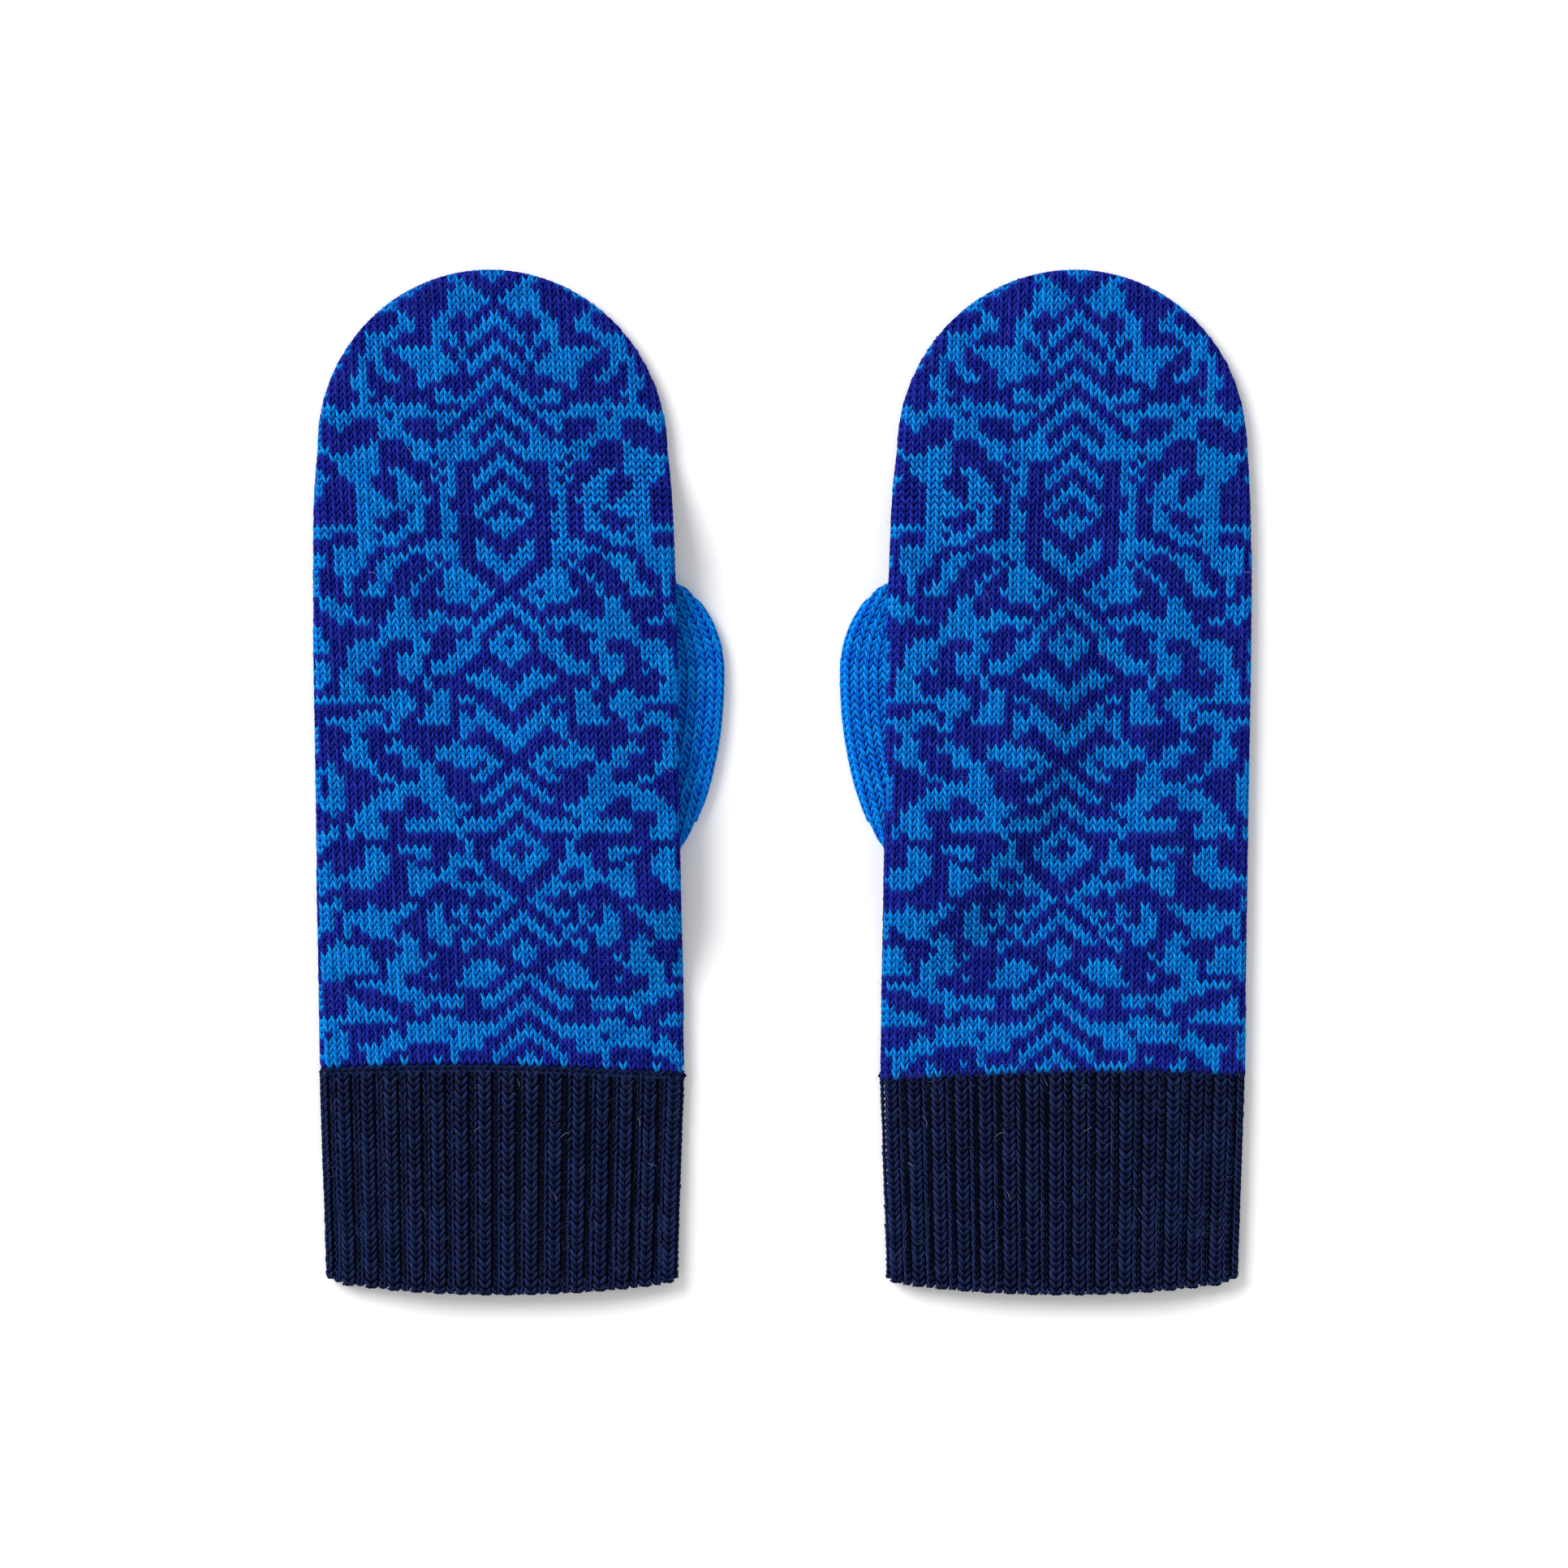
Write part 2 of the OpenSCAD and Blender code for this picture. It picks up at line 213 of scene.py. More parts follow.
def maths(tree, operation, *values):
    """Adds a math node and gives what comes out of it."""
    return node(tree, "ShaderNodeMath", enumerate(values), operation=operation).outputs[0]


def named_inputs(tree, *inputs):
    """Names a tree's inputs, each with its kind and usual value, and gives them to be joined."""
    for name, kind, value in inputs:
        socket = tree.interface.new_socket(name, in_out="INPUT", socket_type="NodeSocket" + kind)
        if value is not None:
            socket.default_value = value
    return node(tree, "NodeGroupInput").outputs


def stored(tree, name):
    """A direction or size that the points carry."""
    return node(tree, "GeometryNodeInputNamedAttribute", [("Name", name)],
                data_type="FLOAT_VECTOR").outputs["Attribute"]


def facing_out(tree, given, most):
    """The turn that stands a shape on the cloth, give or take a random turn of at most so much."""
    facing = node(tree, "FunctionNodeAxesToRotation",
                  [("Primary Axis", stored(tree, "outward")), ("Secondary Axis", stored(tree, "wale"))],
                  primary_axis="Z", secondary_axis="Y")
    chance = node(tree, "FunctionNodeRandomValue",
                  [("Min", [-angle for angle in most]), ("Max", most), ("Seed", given["Seed"])],
                  data_type="FLOAT_VECTOR")
    chance = node(tree, "FunctionNodeEulerToRotation", [("Euler", chance.outputs["Value"])])
    return node(tree, "FunctionNodeRotateRotation",
                [("Rotation", facing.outputs[0]), ("Rotate By", chance.outputs[0])],
                rotation_space="LOCAL").outputs[0]


def chance_between(tree, given, smallest, largest):
    """A random number for each point."""
    chance = node(tree, "FunctionNodeRandomValue", [(2, smallest), (3, largest), ("Seed", given["Seed"])],
                  data_type="FLOAT")
    return chance.outputs[1]


def set_on_points(tree, given, shape, facing, size):
    """Ends a tree: one shape on every point, each with a tone of its own, made real and dyed."""
    placed = node(tree, "GeometryNodeInstanceOnPoints",
                  [("Points", given["Points"]), ("Instance", shape), ("Rotation", facing), ("Scale", size)])
    tone = chance_between(tree, given, 0, 1)
    toned = node(tree, "GeometryNodeStoreNamedAttribute",
                 [("Geometry", placed.outputs[0]), ("Name", "tone"), ("Value", tone)],
                 data_type="FLOAT", domain="INSTANCE")
    real = node(tree, "GeometryNodeRealizeInstances", [("Geometry", toned.outputs[0])])
    smooth = node(tree, "GeometryNodeSetShadeSmooth", [("Geometry", real.outputs[0]), ("Shade Smooth", True)])
    dyed = node(tree, "GeometryNodeSetMaterial",
                [("Geometry", smooth.outputs[0]), ("Material", given["Yarn"])])
    tree.interface.new_socket("Wool", in_out="OUTPUT", socket_type="NodeSocketGeometry")
    node(tree, "NodeGroupOutput", [("Wool", dyed.outputs[0])])
    return tree


def stitch_tree():
    """Sets a knit stitch, two legs of yarn in a V, on every point of a mesh."""
    tree = bpy.data.node_groups.new("knit stitches", "GeometryNodeTree")
    given = named_inputs(tree, ("Points", "Geometry", None), ("Wale Width", "Float", 2.2 * MM),
                         ("Course Height", "Float", 1.9 * MM), ("Yarn Thickness", "Float", 1.1 * MM),
                         ("Left Leg", "Float", 0.24), ("Right Leg", "Float", 0.2),
                         ("Slant", "Float", 0.32), ("Unevenness", "Float", 0.07),
                         ("Sides", "Int", 5), ("Seed", "Int", 1), ("Yarn", "Material", None))
    less_slant = maths(tree, "MULTIPLY", given["Slant"], -0.8)
    legs = node(tree, "GeometryNodeJoinGeometry")
    for across, length, share, slant in ((-0.235, 0.98, given["Left Leg"], given["Slant"]),
                                         (0.25, 0.9, given["Right Leg"], less_slant)):
        ball = node(tree, "GeometryNodeMeshUVSphere", [("Segments", given["Sides"]), ("Rings", 4)])
        marked = node(tree, "GeometryNodeStoreNamedAttribute",
                      [("Geometry", ball.outputs["Mesh"]), ("Name", "strand"),
                       ("Value", ball.outputs["UV Map"])], data_type="FLOAT_VECTOR", domain="CORNER")
        turn = node(tree, "ShaderNodeCombineXYZ", [("X", -math.pi / 2 - 0.3), ("Z", slant)])
        size = node(tree, "ShaderNodeCombineXYZ", [("X", share), ("Y", 0.5), ("Z", length)])
        one = node(tree, "GeometryNodeTransform",
                   [("Geometry", marked.outputs[0]), ("Translation", (across, 0.0, 0.0)),
                    ("Rotation", turn.outputs[0]), ("Scale", size.outputs[0])])
        tree.links.new(one.outputs[0], legs.inputs[0])
    size = node(tree, "ShaderNodeCombineXYZ", [("X", given["Wale Width"]), ("Y", given["Course Height"]),
                                               ("Z", given["Yarn Thickness"])])
    size = node(tree, "ShaderNodeVectorMath", [(0, size.outputs[0]), (1, stored(tree, "breadth"))],
                operation="MULTIPLY")
    uneven = chance_between(tree, given, maths(tree, "SUBTRACT", 1.0, given["Unevenness"]),
                            maths(tree, "ADD", 1.0, given["Unevenness"]))
    size = node(tree, "ShaderNodeVectorMath", [(0, size.outputs[0]), ("Scale", uneven)], operation="SCALE")
    facing = facing_out(tree, given, (0.05, 0.05, 0.09))
    return set_on_points(tree, given, legs.outputs[0], facing, size.outputs[0])


knit_stitches = stitch_tree()


def add_piece(name, mesh, body):
    """Puts a finished mesh in the scene as a piece of a body, or of none."""
    piece = bpy.data.objects.new(name, mesh)
    bpy.context.scene.collection.objects.link(piece)
    if body:
        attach(piece, body)
    return piece


def knit(name, body, spots, outward, wale, breadth, yarn, slot, tree=knit_stitches, **sizes):
    """A plain mesh of stitches, or of what another tree makes, one at each spot, in one yarn."""
    cloud = bpy.data.meshes.new(name + "_spots")
    cloud.from_pydata([tuple(spot) for spot in spots], [], [])
    for label, values in (("outward", outward), ("wale", wale), ("breadth", breadth)):
        store = cloud.attributes.new(label, "FLOAT_VECTOR", "POINT")
        store.data.foreach_set("vector", np.ascontiguousarray(values, np.float32).ravel())
    maker = bpy.data.objects.new(name + "_maker", cloud)
    bpy.context.scene.collection.objects.link(maker)
    modifier = maker.modifiers.new("knit", "NODES")
    modifier.node_group = tree
    sockets = {item.name: item.identifier for item in tree.interface.items_tree if item.in_out == "INPUT"}
    sizes["Yarn"] = yarn
    for label, value in sizes.items():
        modifier[sockets[label.replace("_", " ")]] = value
    depsgraph = bpy.context.evaluated_depsgraph_get()
    mesh = bpy.data.meshes.new_from_object(maker.evaluated_get(depsgraph))
    mesh.name = name
    bpy.data.objects.remove(maker)
    for label in ("outward", "wale", "breadth"):
        if label in mesh.attributes:
            mesh.attributes.remove(mesh.attributes[label])
    return add_piece(name, mesh, body)


def paint(name):
    """A new material, its nodes and its surface."""
    material = bpy.data.materials.new(name)
    material.use_nodes = True
    return material, material.node_tree, material.node_tree.nodes["Principled BSDF"]


def cloth_piece(name, body, rings, closed_round, material, turned):
    """A closed fabric wall from rings of points, the last ring joined back to the first."""
    count, across = rings.shape[:2]
    faces = []
    for ring in range(count):
        this, following = ring * across, (ring + 1) % count * across
        for place in range(across if closed_round else across - 1):
            beside = (place + 1) % across
            corners = (this + place, this + beside, following + beside, following + place)
            faces.append((corners[0], *corners[:0:-1]) if turned else corners)
    if not closed_round:
        first_end = tuple(ring * across for ring in range(count))
        last_end = tuple(ring * across + across - 1 for ring in range(count))
        faces.append(first_end[::-1] if turned else first_end)
        faces.append(last_end if turned else last_end[::-1])
    mesh = bpy.data.meshes.new(name)
    mesh.from_pydata([tuple(point) for point in rings.reshape(-1, 3)], [], faces)
    mesh.polygons.foreach_set("use_smooth", [True] * len(mesh.polygons))
    mesh.materials.append(material)
    return add_piece(name, mesh, body)


# Noise scales per metre: slow patches in the dye, and single fibres
DYE_PATCHES = 560.0
SINGLE_FIBRES = 3200.0


def wool_group():
    """Plied wool: strands that twist along each leg, uneven dye, painted highlights on the ply crests, and
    painted shade between the plies and where the yarn tucks in.
    """
    tree = bpy.data.node_groups.new("plied wool", "ShaderNodeTree")
    given = named_inputs(tree, ("Yarn", "Color", (0.1, 0.1, 0.1, 1)),
                         ("Lit Strand", "Color", (0.2, 0.2, 0.2, 1)), ("Painted Shade", "Color", (0.0, 0.0, 0.0, 1)),
                         ("Plies", "Float", 5.0), ("Twist", "Float", 1.6), ("Unevenness", "Float", 0.5),
                         ("Mottle", "Float", 0.3))
    for name, kind in (("Colour", "Color"), ("Roughness", "Float"), ("Height", "Float")):
        tree.interface.new_socket(name, in_out="OUTPUT", socket_type="NodeSocket" + kind)
    strand = node(tree, "ShaderNodeAttribute", attribute_name="strand")
    parts = node(tree, "ShaderNodeSeparateXYZ", [(0, strand.outputs["Vector"])]).outputs
    tone = node(tree, "ShaderNodeAttribute", attribute_name="tone").outputs["Fac"]
    place = node(tree, "ShaderNodeTexCoord").outputs["Object"]
    around = maths(tree, "MULTIPLY", parts["X"], given["Plies"])
    onward = maths(tree, "MULTIPLY_ADD", parts["Y"], given["Twist"], around)
    wave = maths(tree, "SINE", maths(tree, "MULTIPLY", onward, 2 * math.pi))
    ply = node(tree, "ShaderNodeMapRange", [(0, wave), (1, -1.0), (2, 1.0)]).outputs[0]
    dye = node(tree, "ShaderNodeTexNoise", [("Vector", place), ("Scale", DYE_PATCHES), ("Detail", 3.0)])
    fibre = node(tree, "ShaderNodeTexNoise", [("Vector", place), ("Scale", SINGLE_FIBRES), ("Detail", 2.0)])
    sheer = maths(tree, "MULTIPLY_ADD", fibre.outputs[0], 0.75, 0.38)
    # Painted highlight: the lit factor lightens each ply's crest towards the Lit Strand colour, mixed with
    # real dye patches and per-stitch tone.
    crest = maths(tree, "POWER", ply, 1.8)
    shade = maths(tree, "MULTIPLY_ADD", crest, sheer, maths(tree, "MULTIPLY", tone, given["Unevenness"]))
    lit = maths(tree, "MULTIPLY_ADD", dye.outputs[0], given["Mottle"], shade)
    lit = node(tree, "ShaderNodeMapRange", [(0, lit), (1, 0.12), (2, 1.2)])
    coloured = node(tree, "ShaderNodeMix", [("Factor", lit.outputs[0]), (6, given["Yarn"]),
                                            (7, given["Lit Strand"])], data_type="RGBA")
    # Painted shade: between the plies and over each leg's upper end, where it tucks under the next stitch,
    # the yarn darkens towards its dark shade colour.
    crease = node(tree, "ShaderNodeMapRange", [(0, ply), (1, 0.0), (2, 0.3), (3, 0.7), (4, 0.0)])
    painted_shade = node(tree, "ShaderNodeMapRange", [(0, parts["Y"]), (1, 0.46), (2, 0.86), (3, 0.0), (4, 0.92)],
                interpolation_type="SMOOTHSTEP")
    tuck_and_crease_shade = maths(tree, "MAXIMUM", painted_shade.outputs[0], crease.outputs[0])
    deep = node(tree, "ShaderNodeMix", [("Factor", tuck_and_crease_shade), (6, coloured.outputs[2]), (7, given["Painted Shade"])],
                data_type="RGBA")
    rough = node(tree, "ShaderNodeMapRange",
                 [(0, fibre.outputs[0]), (1, 0.2), (2, 0.8), (3, 0.72), (4, 0.95)])
    height = maths(tree, "MULTIPLY_ADD", fibre.outputs[0], 0.5, ply)
    node(tree, "NodeGroupOutput", [("Colour", deep.outputs[2]), ("Roughness", rough.outputs[0]),
                                   ("Height", height)])
    return tree


wool = wool_group()


def dyed_wool(name, yarn, lit, painted_shade, plies=5.0, twist=1.6, unevenness=0.45, mottle=0.3):
    """A yarn's material: the shared wool in one dye."""
    material, tree, shader = paint(name)
    look = node(tree, "ShaderNodeGroup", node_tree=wool)
    for label, value in (("Yarn", (*yarn, 1)), ("Lit Strand", (*lit, 1)), ("Painted Shade", (*painted_shade, 1)),
                         ("Plies", plies), ("Twist", twist), ("Unevenness", unevenness), ("Mottle", mottle)):
        look.inputs[label].default_value = value
    bump = node(tree, "ShaderNodeBump", [("Strength", 0.7), ("Distance", 0.12 * MM),
                                         ("Height", look.outputs["Height"])])
    tree.links.new(look.outputs["Colour"], shader.inputs["Base Color"])
    tree.links.new(look.outputs["Roughness"], shader.inputs["Roughness"])
    tree.links.new(bump.outputs[0], shader.inputs["Normal"])
    shader.inputs["Specular IOR Level"].default_value = 0.01
    shader.inputs["Sheen Weight"].default_value = 0.01
    shader.inputs["Sheen Roughness"].default_value = 0.6
    shader.inputs["Sheen Tint"].default_value = (*lit, 1)
    return material


def wall_wool_in_painted_shade(name, dark, light):
    """The inside of the knitting, seen in the gaps between stitches: level rows, darker than the yarn in
    front as painted shade, and on the two-colour hand also the real yarn carried behind the stitches.
    """
    material, tree, shader = paint(name)
    place = node(tree, "ShaderNodeTexCoord").outputs["Object"]
    rows = node(tree, "ShaderNodeTexWave", [("Vector", place), ("Scale", 165.0), ("Distortion", 3.0),
                                            ("Detail", 2.0), ("Detail Scale", 1.5)], bands_direction="Y")
    fuzz = node(tree, "ShaderNodeTexNoise", [("Vector", place), ("Scale", 1500.0)])
    both = maths(tree, "MULTIPLY", rows.outputs["Fac"], fuzz.outputs[0])
    colour = node(tree, "ShaderNodeMix", [("Factor", both), (6, (*dark, 1)), (7, (*light, 1))],
                  data_type="RGBA")
    bump = node(tree, "ShaderNodeBump", [("Strength", 0.8), ("Distance", 0.3 * MM), ("Height", both)])
    tree.links.new(colour.outputs[2], shader.inputs["Base Color"])
    tree.links.new(bump.outputs[0], shader.inputs["Normal"])
    shader.inputs["Roughness"].default_value = 0.9
    shader.inputs["Specular IOR Level"].default_value = 0.05
    return material


# Each yarn: its own colour, a lighter one for the painted highlight on ply crests, and a dark one for painted
# shade at tucked ends and between plies.
bright_yarn = dyed_wool("cerulean_wool", (0.0005, 0.115, 0.54), (0.007, 0.35, 0.86), (0.0003, 0.018, 0.2))
royal_yarn = dyed_wool("royal_wool", (0.0012, 0.007, 0.18), (0.024, 0.038, 0.43), (0.0003, 0.001, 0.04))
# The hand's wall: real carried yarn, coloured darker as painted shade in the gaps.
inside_knit = wall_wool_in_painted_shade("carried_blue_wool_in_painted_shade", (0.001, 0.006, 0.05), (0.003, 0.03, 0.2))

WALE = 2.27 * MM
COURSE = 1.93 * MM
LAST_COURSE = 116
OUTER_WALE = 30
# How far the yarn's middle lies under the surface, on the back and where the table presses it
YARN_SINK = 0.5 * MM
PRESSED_SINK = 0.85 * MM
# The cuff pulls the courses next to it into a slow wave
SEAM_WAVE = 1.4 * MM
SEAM_WAVE_RUN = 26 * MM
SEAM_WAVE_START = 0.4
SEAM_WAVE_FADE = 22 * MM
# Each mitten's grain: where its middle wale starts at the cuff, how much it leans, and its first course
GRAIN = {"left": (9.6 * MM, -0.0486, 0), "right": (3.5 * MM, -0.0306, -1)}
PATTERN_SEED = 303
PATTERN_COURSES = 130
PATTERN_WALES = 40
PATTERN_START = 4
SLANT_ROOM = 60
opening_low, opening_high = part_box("left_thumb_opening_seam")
opening = np.array([(opening_low.x + opening_high.x) / 2 - mitten_x, (opening_low.y + opening_high.y) / 2])
opening_radius = (opening_high.x - opening_low.x) / 2


def cloudy(rows, columns, tall, wide, seed):
    """Smooth random patches, some courses tall and some wales wide, from 0 to 1."""
    random = np.random.default_rng(seed)
    grid = random.random((int(rows / tall) + 3, int(columns / wide) + 3))
    row, column = np.arange(rows) / tall, np.arange(columns) / wide
    low, near = row.astype(int)[:, None], column.astype(int)[None]
    up, over = eased(row - row.astype(int))[:, None], eased(column - column.astype(int))[None]
    first = grid[low, near] * (1 - over) + grid[low, near + 1] * over
    second = grid[low + 1, near] * (1 - over) + grid[low + 1, near + 1] * over
    return first * (1 - up) + second * up


def nearby(values, tall, wide):
    """The average round each stitch, so many courses and wales either way, mirrored at the middle."""
    whole = np.pad(values, ((tall, tall), (wide, wide)), mode="reflect")
    down = np.stack([whole[k:k + len(values)] for k in range(2 * tall + 1)]).mean(0)
    return np.stack([down[:, k:k + values.shape[1]] for k in range(2 * wide + 1)]).mean(0)


def jacquard(seed):
    """A made-up all-over pattern of bars, level stripes, patches and slants, mirrored on the middle wale."""
    rows, columns = PATTERN_COURSES, PATTERN_WALES
    course, wale = np.arange(rows)[:, None], np.arange(columns)[None]
    bars = cloudy(rows, columns, 4.2, 1.15, seed)
    stripes = cloudy(rows, columns, 1.25, 3.2, seed + 1)
    patches = cloudy(rows, columns, 2.5, 2.1, seed + 2)
    level = cloudy(rows + SLANT_ROOM, columns, 1.5, 2.9, seed + 3)
    slants = level[course + (wale * 0.8).astype(int), wale]
    barred = cloudy(rows, columns, 5, 4, seed + 4)
    striped = cloudy(rows, columns, 6, 4.5, seed + 5)
    fine = np.where(barred > 0.5, bars, slants)
    fine = np.where(striped > 0.52, stripes, fine)
    mixed = patches * 0.5 + fine * 0.65
    bright = mixed > nearby(mixed, 3, 3)
    rising = np.mod(course + wale, 4) < 2
    falling = np.mod(course - wale, 6) < 3
    column = wale <= 3 + np.round(striped)
    bright = np.where(column, rising, bright)
    return np.where(column & (striped[:, :1] > 0.55), falling, bright)


def hand_lattice(side, face):
    """Where every stitch of one face of the hand goes, and which yarn it is knitted in."""
    start, lean, first = GRAIN[side]
    rows, columns = np.meshgrid(np.arange(first, LAST_COURSE), np.arange(-OUTER_WALE, OUTER_WALE + 1),
                                indexing="ij")
    rows, columns = rows.ravel(), columns.ravel()
    y = seam_y + (rows + 0.45) * COURSE
    x = start + columns * WALE + lean * (y - seam_y)
    fade = np.exp(-(y - seam_y) / SEAM_WAVE_FADE)
    y = y + SEAM_WAVE * fade * np.cos(x / SEAM_WAVE_RUN + SEAM_WAVE_START)
    plan, depth, inward, kept = over_edge(np.stack([x, y], 1), hand_outline(), EDGE_ROUND)
    kept &= (depth > 0.05 * MM) & (plan[:, 1] > seam_y - 4 * MM)
    if face < 0:
        kept &= np.hypot(*(plan - opening).T) > opening_radius - 0.5 * MM
    plan, depth, inward, rows, columns = plan[kept], depth[kept], inward[kept], rows[kept], columns[kept]
    sink = YARN_SINK if face > 0 else PRESSED_SINK
    spots, outward, slope = skin(plan, depth, inward, face, sink, EDGE_ROUND, LOFT, resting_height)
    grain = np.array([lean, 1.0]) / math.hypot(lean, 1)
    in_part = inward @ grain
    cos = np.clip(1 - depth / EDGE_ROUND, 0, 1)
    sin = np.sqrt(1 - cos * cos)
    flat = grain - in_part[:, None] * inward + (in_part * sin)[:, None] * inward
    wale = np.concatenate([flat, (face * in_part * cos + (slope * flat).sum(1))[:, None]], 1)
    bright = jacquard(PATTERN_SEED)[rows + PATTERN_START, np.abs(columns)]
    return spots, outward, wale, bright


def hand_fabric(name, side, face):
    """The fabric wall behind the stitches: an outer face, and a lining one fabric thickness in."""
    straight = np.linspace(seam_y, tip_base_y, 50)
    arc = np.linspace(0, 87, 18)[1:] * math.pi / 180
    rows = np.concatenate([straight, tip_base_y + TIP_LENGTH * np.sin(arc)])
    across = np.sin(np.linspace(-1, 1, 49) * math.pi / 2)
    y = np.repeat(rows, len(across))
    x = middle(y) + half_width(y) * np.tile(across, len(rows))
    plan = np.stack([x, y], 1)
    depth, inward = edge_distance(plan, hand_outline())
    depth = np.maximum(depth, 0)
    layers = []
    for sink in (1.0 * MM, FABRIC) if face > 0 else (1.3 * MM, FABRIC + 0.2 * MM):
        spots = skin(plan, depth, inward, face, sink, EDGE_ROUND, LOFT, resting_height)[0]
        layers.append(in_place(side, spots).reshape(len(rows), len(across), 3))
    rings = np.concatenate([layers[0], layers[1][::-1]])
    turned = (face > 0) != (side == "left")
    return cloth_piece(name, side + "_hand", rings, False, inside_knit, turned)


def knit_face(side, name, face, sides, seed):
    """Knits one face of the hand in its two yarns, with its fabric behind, in place of its panel."""
    spots, outward, wale, bright = hand_lattice(side, face)
    places = on_mitten(side, spots, outward, wale)
    even = np.ones_like(spots)
    for label, choice, yarn, yarn_seed in (("bright", bright, bright_yarn, seed),
                                           ("royal", ~bright, royal_yarn, seed + 1)):
        piece = knit(f"{side}_{name}_{label}_stitches", side + "_hand", *[part[choice] for part in places],
                     even[choice], yarn, "two_colour_knit", Sides=sides, Seed=yarn_seed, Wale_Width=WALE,
                     Course_Height=COURSE, Yarn_Thickness=1.15 * MM)
        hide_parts(f"{side}_{name}_panel")
    fabric = hand_fabric(f"{side}_{name}_fabric", side, face)
    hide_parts(f"{side}_{name}_panel")


for side in SIDES:
    knit_face(side, "back", 1, sides=5, seed=11)


# ---- The palm -------------------------------------------------------------------------------
# The same jacquard, lying on the table under the back of the hand, with a round opening towards
# the thumb's side where the thumb is sewn on.

for side in SIDES:
    knit_face(side, "palm", -1, sides=4, seed=21)


# ---- The side seam --------------------------------------------------------------------------
# A chain of linked stitches in royal wool that closes the hand's two faces together, up one
# side, over the fingertips and down the other.

CHAIN_STEP = 1.9 * MM
CHAIN_INSET = 0.55 * MM


def chain(points, closed=False):
    """Evenly spaced places and directions along a line of points."""
    steps = np.linalg.norm(np.diff(points, axis=0), axis=1)
    travelled = np.concatenate([[0], np.cumsum(steps)])
    count = int(travelled[-1] / CHAIN_STEP)
    at = np.linspace(0, travelled[-1], count, endpoint=not closed)
    spots = np.stack([np.interp(at, travelled, points[:, k]) for k in range(3)], 1)
    ahead = np.stack([np.interp(at + 0.5 * MM, travelled, points[:, k]) for k in range(3)], 1)
    behind = np.stack([np.interp(at - 0.5 * MM, travelled, points[:, k]) for k in range(3)], 1)
    return spots, ahead - behind


for side in SIDES:
    outline = hand_outline()
    outline = outline[outline[:, 1] > seam_y]
    depth, inward = edge_distance(outline, hand_outline())
    line = outline + inward * CHAIN_INSET
    height = EDGE_ROUND + resting_height(outline[:, 0], outline[:, 1])
    spots, along = chain(np.concatenate([line, height[:, None]], 1))
    depth, inward = edge_distance(spots[:, :2], hand_outline())
    outward = np.concatenate([-inward, np.zeros((len(inward), 1))], 1)
    piece = knit(side + "_side_seam_stitches", side + "_hand", *on_mitten(side, spots, outward, along),
                 np.ones_like(spots), royal_yarn, "seam_yarn", Sides=4, Seed=31, Wale_Width=1.7 * MM,
                 Course_Height=CHAIN_STEP, Yarn_Thickness=0.9 * MM)
    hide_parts(side + "_side_seam")


# ---- The cuff -------------------------------------------------------------------------------
# A navy ribbed tube, knitted twice its length and folded up inside itself at the hem, so its
# edge is a soft fold. Each rib shows one full wale, one that turns into the furrow, and a gap.

CUFF_LENGTH = 56.2 * MM
HEM_WIDTH = 95 * MM
HEM_BOW = 3.4 * MM
# The hem lifts at its two corners, and folds round its own thickness
HEM_CORNER = 5 * MM
HEM_RISE = 1.3 * MM
HEM_FOLD = 1.25 * MM
# Courses down to the hem, counted from a little under the seam, and how far stitches show inside
HEM_COURSE = 31
FIRST_COURSE = 0.35
RIB_COURSE = CUFF_LENGTH / (HEM_COURSE + FIRST_COURSE)
INSIDE_LENGTH = 20 * MM
RIBS = 16
# Each wale of a rib: place across it, depth below its crown, turn into the furrow and width
RIB_WALES = ((0.29, 0.0, 0.06, 1.56), (0.7, 0.75 * MM, 0.62, 1.0))
# How far a rib's crown lies under the surface on the back, and where the table presses it
CROWN_SINK = 0.45 * MM
PRESSED_CROWN = 0.9 * MM
FURROW_DEPTH = 0.95 * MM
cuff_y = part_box("left_cuff")[1].y
cuff_middle = middle(seam_y)
# The navy yarn, with its painted highlight colour and its dark painted shade colour.
navy_yarn = dyed_wool("navy_wool", (0.0002, 0.0005, 0.0048), (0.046, 0.079, 0.28), (0.0001, 0.0001, 0.0008),
                      unevenness=0.16, mottle=0.0)
# The cuff's wall, darker than its yarn: painted shade in the gaps and inside the cuff.
navy_inside = wall_wool_in_painted_shade("navy_wall_in_painted_shade", (0.0003, 0.0005, 0.0025), (0.002, 0.003, 0.012))


def furrow(share):
    """How deep the ribbed fabric lies below its crown, across one rib."""
    share = np.mod(share, 1)
    return FURROW_DEPTH * eased((share - 0.45) / 0.45) * (1 - eased((share - 0.93) / 0.07))


def flattened(down):
    """How much of its depth a rib keeps, which is less where the cuff folds at the hem."""
    return 1 - 0.7 * np.exp(-((down - CUFF_LENGTH) / (3.5 * MM)) ** 2)


